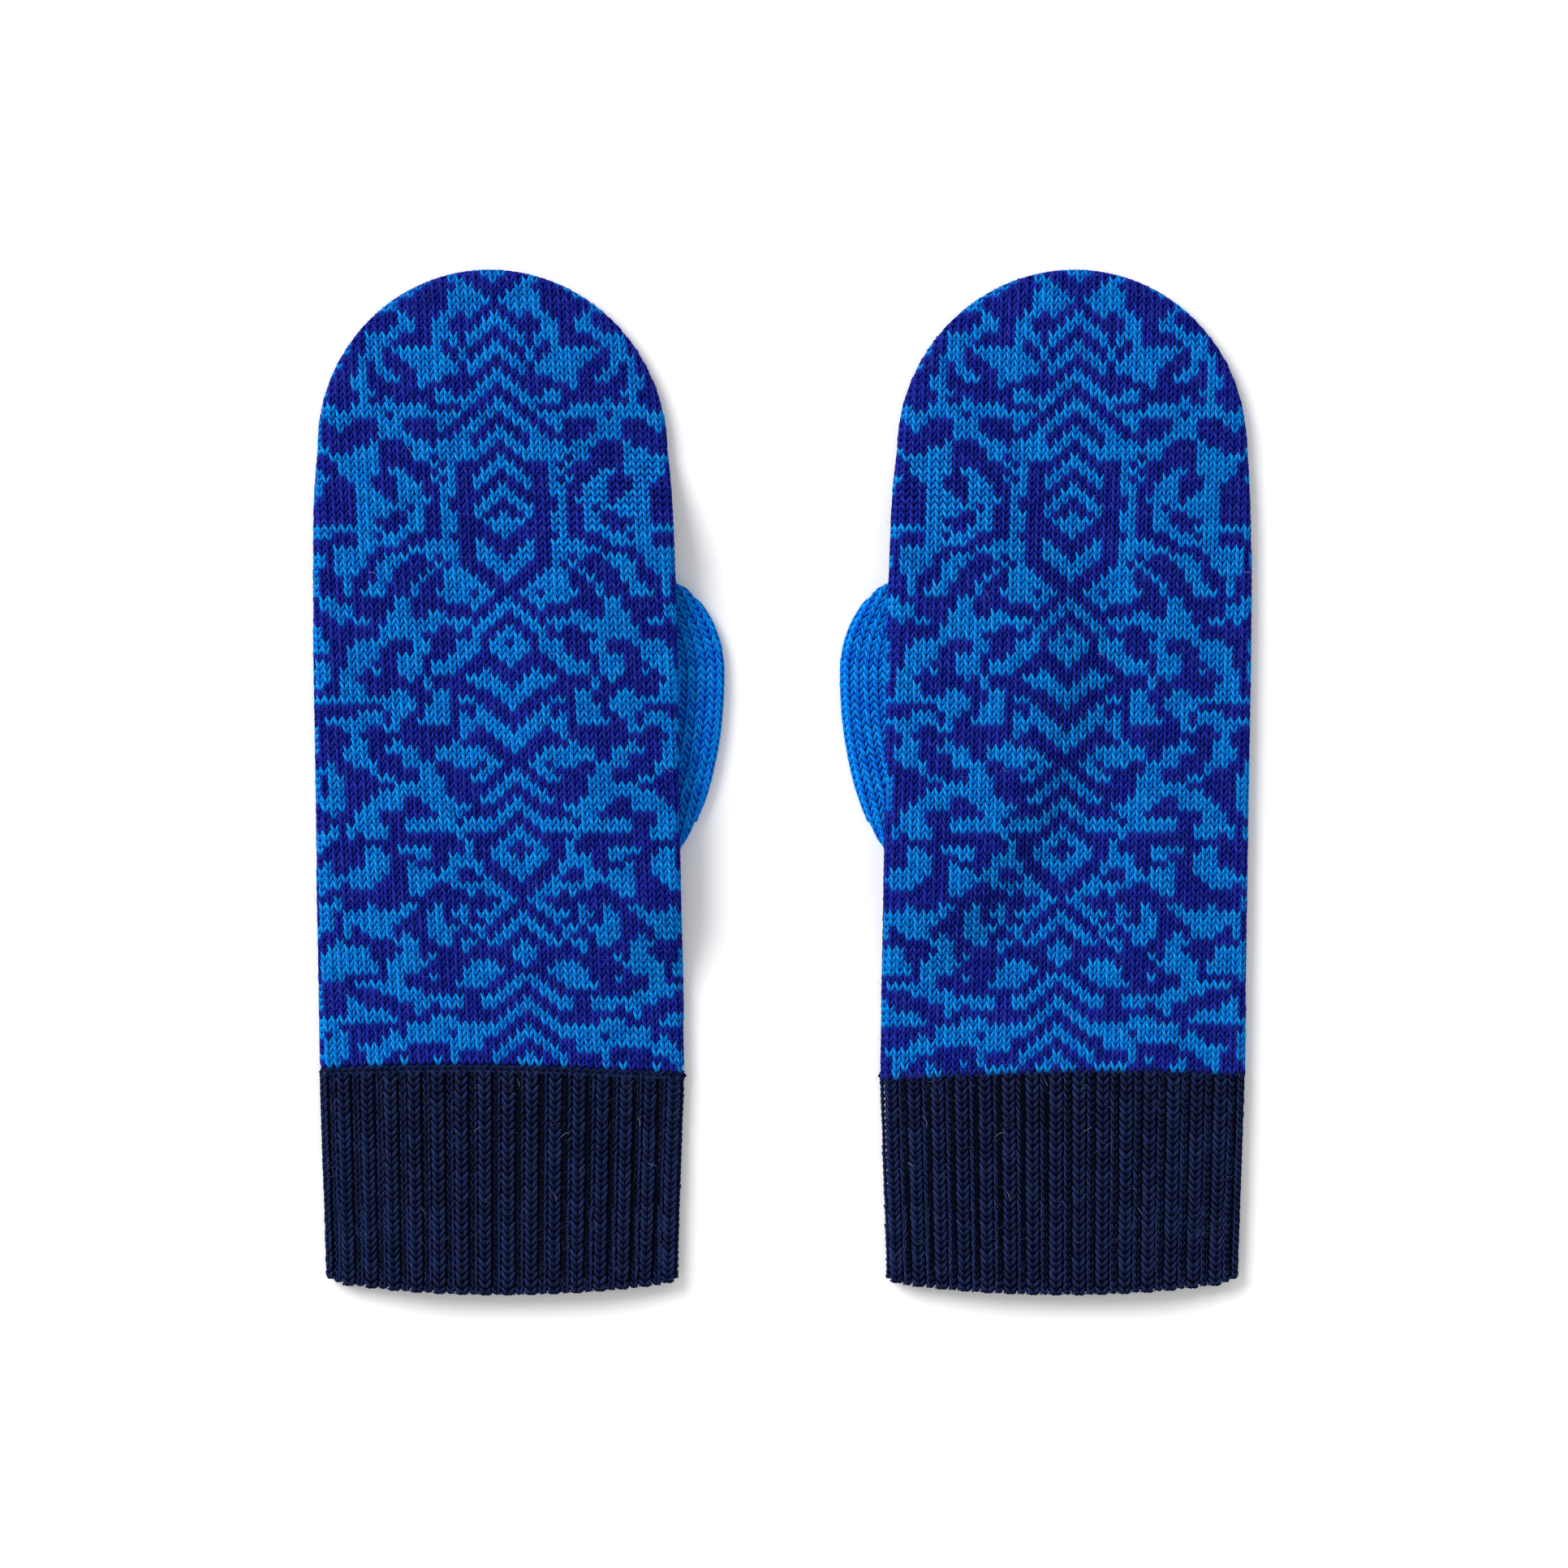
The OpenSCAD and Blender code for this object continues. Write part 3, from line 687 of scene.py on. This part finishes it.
def cuff_skin(ribs_across, down, face, sink, turn=0.0):
    """Places on the cuff: so many ribs from its middle, and so far down it, round the hem and up inside."""
    width_top, width_hem = half_width(seam_y), HEM_WIDTH / 2
    first = np.minimum(down, CUFF_LENGTH)
    wide = width_top + (width_hem - width_top) * first / CUFF_LENGTH
    full = wide + (math.pi / 2 - 1) * EDGE_ROUND
    flat = ribs_across / (RIBS / 2) * full
    travel = full - np.abs(flat)
    angle = np.clip(travel / EDGE_ROUND, 0, math.pi / 2)
    rolled = travel < EDGE_ROUND * math.pi / 2
    depth = np.where(rolled, EDGE_ROUND * (1 - np.cos(angle)), wide - np.abs(flat))
    corner = HEM_RISE * (np.clip(HEM_CORNER - depth, 0, HEM_CORNER) / HEM_CORNER) ** 2
    length = CUFF_LENGTH - corner - HEM_FOLD
    down = down * (length + HEM_FOLD * math.pi / 2) / CUFF_LENGTH
    bend = np.clip((down - length) / HEM_FOLD, 0, math.pi)
    back_up = np.maximum(down - length - math.pi * HEM_FOLD, 0)
    level = np.minimum(down, length) - back_up
    across = np.sign(flat) * (wide - depth)
    y = cuff_y - level - HEM_BOW * (level / CUFF_LENGTH) * (1 - (across / wide) ** 2)
    fade = np.exp(-level / (16 * MM))
    y = y + 0.8 * SEAM_WAVE * fade * np.cos((across + cuff_middle) / SEAM_WAVE_RUN + SEAM_WAVE_START)
    plan = np.stack([across + cuff_middle, y], 1)
    inward = np.stack([-np.sign(flat), 0 * flat], 1)
    spots, outward = skin(plan, depth, inward, face, 0.0, EDGE_ROUND, LOFT, resting_height)[:2]
    below = np.zeros_like(spots)
    below[:, 1] = -1
    across_way = np.cross(below, outward)
    outward = outward * math.cos(turn) + across_way * math.sin(turn) * face
    spots = spots + below * (HEM_FOLD * np.sin(bend))[:, None]
    spots = spots - outward * (HEM_FOLD * (1 - np.cos(bend)))[:, None]
    facing = outward * np.cos(bend)[:, None] + below * np.sin(bend)[:, None]
    wale = -below * np.cos(bend)[:, None] + outward * np.sin(bend)[:, None]
    return spots - facing * np.reshape(sink, (-1, 1)), facing, wale


def hang_cuff(piece, side):
    """Bakes a piece of the cuff's placement into its mesh and hides the cuff's part."""
    seam_middle = in_place(side, [[cuff_middle, 0, 0]])[0][0]
    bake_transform(piece)
    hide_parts(side + "_cuff")


for side in SIDES:
    parts = []
    courses = np.arange(0, int((CUFF_LENGTH + math.pi * HEM_FOLD + INSIDE_LENGTH) / RIB_COURSE))
    for face, crown in ((1, CROWN_SINK), (-1, PRESSED_CROWN)):
        for share, deep, turn, breadth in RIB_WALES:
            rib, course = np.meshgrid(np.arange(RIBS) - RIBS / 2, courses)
            down = (course.ravel() + FIRST_COURSE) * RIB_COURSE
            spots, outward, wale = cuff_skin(rib.ravel() + share, down, face,
                                             deep * flattened(down) + crown, turn)
            tight = 1 - 0.5 * np.exp(-((down - CUFF_LENGTH) / (2.6 * MM)) ** 2)
            size = np.stack([np.full_like(tight, breadth), tight, np.ones_like(tight)], 1)
            parts.append((spots, outward, wale, size))
    spots, outward, wale, size = [np.concatenate(column) for column in zip(*parts)]
    cuff = knit(side + "_cuff_stitches", None, *on_mitten(side, spots, outward, wale), size, navy_yarn,
                "rib_knit", Sides=4, Seed=41, Wale_Width=2.15 * MM, Course_Height=RIB_COURSE,
                Yarn_Thickness=1.0 * MM, Left_Leg=0.205, Right_Leg=0.175)
    above_hem, past_hem = CUFF_LENGTH - 2 * HEM_CORNER, CUFF_LENGTH + 5 * MM
    steps = np.concatenate([np.linspace(0, above_hem, 16), np.linspace(above_hem, past_hem, 14)[1:],
                            np.linspace(past_hem, 2 * CUFF_LENGTH, 12)[1:]])
    rings = []
    for down in steps:
        share = np.linspace(-RIBS / 2, RIBS / 2, RIBS * 8 + 1)[:-1]
        groove = furrow(share) * flattened(down)
        upper = cuff_skin(share, np.full(share.shape, down), 1, 0.95 * MM + groove)[0]
        lower = cuff_skin(-share, np.full(share.shape, down), -1, 1.3 * MM + groove[::-1])[0]
        rings.append(in_place(side, np.concatenate([upper, lower])))
    wall = cloth_piece(side + "_cuff_fabric", None, np.array(rings), True, navy_inside,
                       side == "right")
    for piece in (cuff, wall):
        hang_cuff(piece, side)


# ---- The cuff seam --------------------------------------------------------------------------
# One round of navy linking loops where the cuff is joined to the hand, just inside the last
# course of the jacquard.

ABOVE_CUFF = np.full(200, -0.6 * MM)
LOOP_SINK = 0.7 * MM
for side in SIDES:
    share = np.linspace(-RIBS / 2, RIBS / 2, len(ABOVE_CUFF))
    upper = cuff_skin(share, ABOVE_CUFF, 1, LOOP_SINK)[0]
    lower = cuff_skin(-share, ABOVE_CUFF, -1, LOOP_SINK)[0]
    spots, along = chain(np.concatenate([upper, lower]), closed=True)
    outward = np.stack([0 * spots[:, 0], 0 * spots[:, 0], np.sign(spots[:, 2] - EDGE_ROUND)], 1)
    off_middle = np.abs(spots[:, 0] - cuff_middle)
    round_edge = np.clip((off_middle - HAND_WIDTH / 2 + EDGE_ROUND) / EDGE_ROUND, 0, 1)
    outward[:, 0] = round_edge * np.sign(spots[:, 0]) * 1.5
    piece = knit(side + "_cuff_seam_loops", side + "_hand", *on_mitten(side, spots, outward, along),
                 np.ones_like(spots), navy_yarn, "seam_yarn", Sides=4, Seed=51, Wale_Width=2.2 * MM,
                 Course_Height=CHAIN_STEP, Yarn_Thickness=1.0 * MM)
    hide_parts(side + "_cuff_seam")


# ---- The thumb ------------------------------------------------------------------------------
# A plain bright-blue pocket knitted on its own, egg-shaped, lying flat under the hand. Its
# wales follow its outer edge.

THUMB_WALE = 2.62 * MM
THUMB_COURSE = 2.0 * MM
THUMB_COURSES = 44
THUMB_WALES = 22
THUMB_ROUND = 2.7 * MM
THUMB_LOFT = thumb_height - 2 * THUMB_ROUND
# How far round the tip or heel, as a share of it, the wales still follow the edge
THUMB_STEEPEST = 0.52
# The thumb's yarn, with its painted highlight colour and its dark painted shade colour.
thumb_yarn = dyed_wool("plain_blue_wool", (0.0005, 0.064, 0.66), (0.006, 0.37, 0.86), (0.0003, 0.007, 0.24))
# The thumb's wall, darker than its yarn: painted shade in the gaps and inside the thumb.
thumb_inside = wall_wool_in_painted_shade("plain_blue_wall_in_painted_shade", (0.001, 0.012, 0.08), (0.003, 0.06, 0.28))
crease_y = free_low.y


def thumb_outline():
    """The thumb's egg-shaped edge, all the way round."""
    around = np.linspace(-math.pi, math.pi, 181)
    length = np.where(around > 0, THUMB_TIP, THUMB_HEEL)
    return np.stack([thumb_x + THUMB_WIDTH / 2 * np.cos(around), thumb_y + length * np.sin(around)], 1)


def outer_edge(y):
    """The thumb's outer edge, run on straight where it would turn in too steeply to knit along."""
    share = np.where(y > thumb_y, (y - thumb_y) / THUMB_TIP, (thumb_y - y) / THUMB_HEEL)
    held = np.minimum(share, THUMB_STEEPEST)
    round_part = np.sqrt(1 - held * held)
    return thumb_x + THUMB_WIDTH / 2 * (round_part - (share - held) * held / round_part)


def thumb_skin(plan, depth, inward, face, sink):
    """Points and outward directions on the thumb, which lies flat on the table."""
    return skin(plan, depth, inward, face, sink, THUMB_ROUND, THUMB_LOFT, lambda x, y: 0 * x)[:2]


for side in SIDES:
    parts = []
    for face in (1, -1):
        row, column = np.meshgrid(np.arange(THUMB_COURSES), np.arange(THUMB_WALES))
        y = (thumb_y - THUMB_HEEL - 2 * MM + (row + 0.5) * THUMB_COURSE).ravel()
        edge = outer_edge(y)
        x = edge + (math.pi / 2 - 1) * THUMB_ROUND - (column.ravel() + 0.5) * THUMB_WALE
        plan, depth, inward, kept = over_edge(np.stack([x, y], 1), thumb_outline(), THUMB_ROUND)
        lean = (outer_edge(y + 0.5 * MM) - outer_edge(y - 0.5 * MM)) / MM
        plan, depth, inward, lean = plan[kept], depth[kept], inward[kept], lean[kept]
        spots, outward = thumb_skin(plan, depth, inward, face, YARN_SINK if face > 0 else PRESSED_SINK)
        wale = np.stack([lean, np.ones_like(lean), np.zeros_like(lean)], 1)
        cos = np.clip(1 - depth / THUMB_ROUND, 0, 1)
        in_part = (wale[:, :2] * inward).sum(1)
        wale[:, :2] -= inward * (in_part * (1 - np.sqrt(1 - cos * cos)))[:, None]
        wale[:, 2] = face * in_part * cos
        stretch = np.hypot(lean, 1)
        parts.append((spots, outward, wale, np.stack([1 / stretch, stretch, np.ones_like(lean)], 1)))
    spots, outward, wale, size = [np.concatenate(column) for column in zip(*parts)]
    thumb = knit(side + "_thumb_stitches", None, *on_mitten(side, spots, outward, wale), size, thumb_yarn,
                 "plain_knit", Sides=6, Seed=61, Wale_Width=THUMB_WALE, Course_Height=THUMB_COURSE,
                 Yarn_Thickness=1.2 * MM, Slant=0.36)
    ring = thumb_outline()[:-1]
    rings = []
    for face, shares in ((1, np.linspace(0, 1, 12)), (-1, np.linspace(1, 0, 12))):
        for share in shares:
            plan = np.array([thumb_x, thumb_y]) + (ring - [thumb_x, thumb_y]) * (1 - share) ** 1.6
            depth, inward = edge_distance(plan, thumb_outline())
            spots = thumb_skin(plan, np.maximum(depth, 0), inward, face, 0.95 * MM)[0]
            rings.append(in_place(side, spots))
    wall = cloth_piece(side + "_thumb_fabric", None, np.array(rings), True, thumb_inside,
                       side == "right")
    for piece in (thumb, wall):
        crease = Vector((in_place(side, [[thumb_x, 0, 0]])[0][0], crease_y, 0))
        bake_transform(piece)
        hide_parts(*[f"{side}_thumb_{part}" for part in ("base", "upper", "lower", "side_seam")])


# ---- The thumb's opening --------------------------------------------------------------------
# A round of royal chain stitches that binds the cut edge of the palm's opening to the thumb.

for side in SIDES:
    around = np.linspace(0, 2 * math.pi, 97)
    bound = opening_radius - 0.7 * MM
    ring = np.stack([opening[0] + bound * np.cos(around), opening[1] + bound * np.sin(around),
                     np.full_like(around, opening_low.z + 0.5 * MM)], 1)
    spots, along = chain(ring, closed=True)
    outward = np.concatenate([opening - spots[:, :2], np.full((len(spots), 1), -2 * MM)], 1)
    piece = knit(side + "_thumb_opening_chain", side + "_hand", *on_mitten(side, spots, outward, along),
                 np.ones_like(spots), royal_yarn, "seam_yarn", Sides=4, Seed=71, Wale_Width=2.1 * MM,
                 Course_Height=CHAIN_STEP, Yarn_Thickness=1.1 * MM)
    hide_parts(side + "_thumb_opening_seam")


# ---- Stray fibres ---------------------------------------------------------------------------
# Fine loose ends of wool that worked out of the yarn in wear, arching over the stitches, with a
# few pale ones among them.

HAND_FIBRES = 1100
CUFF_FIBRES = 520
FIBRE_LENGTH = 2.2 * MM
FIBRE_THICKNESS = 0.05 * MM


def fibre_tree():
    """Sets one arched hair on every point of a mesh, turned any way and of any length."""
    tree = bpy.data.node_groups.new("stray fibres", "GeometryNodeTree")
    given = named_inputs(tree, ("Points", "Geometry", None), ("Length", "Float", FIBRE_LENGTH),
                         ("Thickness", "Float", FIBRE_THICKNESS), ("Seed", "Int", 1),
                         ("Yarn", "Material", None))
    arch = node(tree, "GeometryNodeCurveQuadraticBezier",
                [("Resolution", 4), ("Start", (-0.5, 0.0, -0.1)), ("Middle", (0.1, 0.16, 0.45)),
                 ("End", (0.5, -0.05, 0.1))])
    radius = maths(tree, "MULTIPLY", maths(tree, "DIVIDE", given["Thickness"], given["Length"]), 0.5)
    ring = node(tree, "GeometryNodeCurvePrimitiveCircle", [("Resolution", 3), ("Radius", radius)])
    hair = node(tree, "GeometryNodeCurveToMesh",
                [("Curve", arch.outputs[0]), ("Profile Curve", ring.outputs[0]), ("Fill Caps", True)])
    length = maths(tree, "MULTIPLY", chance_between(tree, given, 0.35, 1.1), given["Length"])
    facing = facing_out(tree, given, (0.35, 0.35, math.pi))
    return set_on_points(tree, given, hair.outputs[0], facing, length)


def loose_wool(name, dark, light):
    """Single fibres: the yarn's own dye, lighter on some, and a few almost undyed."""
    material, tree, shader = paint(name)
    tone = node(tree, "ShaderNodeAttribute", attribute_name="tone").outputs["Fac"]
    place = node(tree, "ShaderNodeTexCoord").outputs["Object"]
    along = node(tree, "ShaderNodeTexNoise", [("Vector", place), ("Scale", 900.0)])
    mixed = maths(tree, "MULTIPLY", tone, along.outputs[0])
    dyed = node(tree, "ShaderNodeMix", [("Factor", mixed), (6, (*dark, 1)), (7, (*light, 1))],
                data_type="RGBA")
    undyed = maths(tree, "GREATER_THAN", tone, 0.99)
    colour = node(tree, "ShaderNodeMix", [("Factor", undyed), (6, dyed.outputs[2]),
                                          (7, (0.45, 0.5, 0.6, 1))], data_type="RGBA")
    tree.links.new(colour.outputs[2], shader.inputs["Base Color"])
    shader.inputs["Roughness"].default_value = 0.7
    shader.inputs["Specular IOR Level"].default_value = 0.1
    return material


stray_fibres = fibre_tree()
blue_fibre = loose_wool("loose_blue_wool", (0.01, 0.03, 0.3), (0.1, 0.3, 0.8))
navy_fibre = loose_wool("loose_navy_wool", (0.01, 0.015, 0.06), (0.16, 0.2, 0.4))
for side in SIDES:
    pick = np.random.default_rng(91)
    spots, outward, wale = hand_lattice(side, 1)[:3]
    some = pick.choice(len(spots), HAND_FIBRES, replace=False)
    nudge = pick.uniform(-0.9 * MM, 0.9 * MM, (HAND_FIBRES, 3)) * [1, 1, 0]
    spots = spots[some] + outward[some] * 0.95 * MM + nudge
    piece = knit(side + "_hand_stray_fibres", side + "_hand",
                 *on_mitten(side, spots, outward[some], wale[some]), np.ones((HAND_FIBRES, 3)), blue_fibre,
                 "two_colour_knit", tree=stray_fibres, Seed=92)
    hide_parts(side + "_back_panel")
    across = pick.uniform(-RIBS / 2 + 0.4, RIBS / 2 - 0.4, CUFF_FIBRES)
    down = pick.uniform(1 * MM, CUFF_LENGTH - 1.5 * MM, CUFF_FIBRES)
    piece = knit(side + "_cuff_stray_fibres", None,
                 *on_mitten(side, *cuff_skin(across, down, 1, -0.2 * MM)), np.ones((CUFF_FIBRES, 3)),
                 navy_fibre, "rib_knit", tree=stray_fibres, Seed=93)
    hang_cuff(piece, side)


# ---- The care label -------------------------------------------------------------------------
# A blank tab of white woven tape, sewn inside near the cuff on the little-finger side.

LABEL_CURL = 0.5 * MM
LABEL_THICKNESS = 0.35 * MM
label_tape, tape_tree, tape_shader = paint("woven_label_tape")
tape_place = node(tape_tree, "ShaderNodeTexCoord").outputs["Object"]
warp, weft = [node(tape_tree, "ShaderNodeTexWave", [("Vector", tape_place), ("Scale", 900.0)],
                   bands_direction=way).outputs["Fac"] for way in "XY"]
weave = maths(tape_tree, "MULTIPLY", warp, weft)
tape_colour = node(tape_tree, "ShaderNodeMix", [("Factor", weave), (6, (0.62, 0.62, 0.6, 1)),
                                                (7, (0.86, 0.86, 0.83, 1))], data_type="RGBA")
tape_bump = node(tape_tree, "ShaderNodeBump", [("Strength", 0.3), ("Distance", 0.1 * MM), ("Height", weave)])
tape_tree.links.new(tape_colour.outputs[2], tape_shader.inputs["Base Color"])
tape_tree.links.new(tape_bump.outputs[0], tape_shader.inputs["Normal"])
tape_shader.inputs["Roughness"].default_value = 0.5

for side in SIDES:
    low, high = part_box(side + "_care_label")
    rings = []
    for height, backwards in ((0.0, False), (LABEL_THICKNESS, True)):
        for step in (np.linspace(1, 0, 15) if backwards else np.linspace(0, 1, 15)):
            x = np.linspace(low.x, high.x, 11)
            y = low.y + (high.y - low.y) * step + 0 * x
            curl = LABEL_CURL * (step ** 2 + 0.4 * np.sin(step * 5 + x * 300) ** 2)
            rings.append(np.stack([x, y, low.z + 0.2 * MM + curl + height], 1))
    label = cloth_piece(side + "_care_label_tape", side + "_hand", np.array(rings), False, label_tape,
                        True)
    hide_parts(side + "_care_label")


# ---- Table, light and camera ----------------------------------------------------------------
# A plain white table, a broad soft light from the upper left, and a long lens looking straight
# down on the pair.

table_top = bpy.data.meshes.new("table")
table_top.from_pydata([(-3, -3, 0), (3, -3, 0), (3, 3, 0), (-3, 3, 0)], [], [(0, 1, 2, 3)])
table = bpy.data.objects.new("table", table_top)
bpy.context.scene.collection.objects.link(table)
table_paint, table_shader = paint("white_table")[::2]
table_shader.inputs["Base Color"].default_value = (0.9, 0.9, 0.9, 1)
table_shader.inputs["Roughness"].default_value = 0.8
table_shader.inputs["Specular IOR Level"].default_value = 0.0
table_top.materials.append(table_paint)

world = bpy.data.worlds.new("studio")
world.use_nodes = True
world.node_tree.nodes["Background"].inputs["Color"].default_value = (1, 1, 1, 1)
world.node_tree.nodes["Background"].inputs["Strength"].default_value = 0.8
bpy.context.scene.world = world

LIGHT_FROM = Vector((-1.3, 1.05, 1.5))
key = bpy.data.lights.new("key", "SUN")
key.energy = 2.7
key.angle = math.radians(34)
key_light = bpy.data.objects.new("key", key)
key_light.location = LIGHT_FROM
key_light.rotation_euler = (-LIGHT_FROM).to_track_quat("-Z", "Y").to_euler()
bpy.context.scene.collection.objects.link(key_light)

VIEW_WIDTH = 425 * MM
CAMERA_HEIGHT = 2.4
SENSOR_WIDTH = 36
camera = bpy.data.cameras.new("camera")
camera.sensor_width = SENSOR_WIDTH
camera.lens = SENSOR_WIDTH * CAMERA_HEIGHT / VIEW_WIDTH
camera.clip_start = 0.05
camera_object = bpy.data.objects.new("camera", camera)
camera_object.location = (0.5 * MM, -0.5 * MM, CAMERA_HEIGHT)
bpy.context.scene.collection.objects.link(camera_object)
bpy.context.scene.camera = camera_object
bpy.context.scene.view_settings.view_transform = "Standard"
